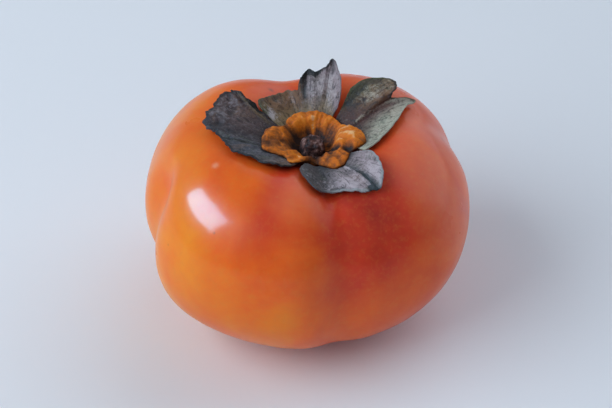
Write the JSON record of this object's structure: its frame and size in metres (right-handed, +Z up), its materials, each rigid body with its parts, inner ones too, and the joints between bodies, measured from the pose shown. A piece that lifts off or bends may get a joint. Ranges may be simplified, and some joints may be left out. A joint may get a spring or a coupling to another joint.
{
  "type": "persimmon",
  "caption": "Squat whole persimmon with a dried four-lobed calyx and cut stem stub, resting on a small flat spot.",
  "frame": {"origin": "middle of the fruit's outline in plan, on the level that its flat spot rests on", "axes": "+Z up through the crown, -Y to the front of the fruit, +X to its right as seen from the front"},
  "size_m": [0.0771, 0.0752, 0.0576],
  "materials": {
    "fruit_skin": "smooth waxy skin, orange shading to red, soft gloss",
    "calyx_ring": "rough, lumpy, dry orange tissue",
    "stub_wood": "dark, dry, broken end",
    "dried_sepal": "dried leaf, matt, grey-lilac to olive brown with dark edges",
    "blossom_husk": "dry, dark, matt"
  },
  "bodies": {
    "root": {"fruit": "fruit_skin", "calyx_disc": "calyx_ring", "stem_stub": "stub_wood", "sepal_front": "dried_sepal", "sepal_right": "dried_sepal", "sepal_back": "dried_sepal", "sepal_left": "dried_sepal", "blossom_tip": "blossom_husk"}
  },
  "joints": []
}
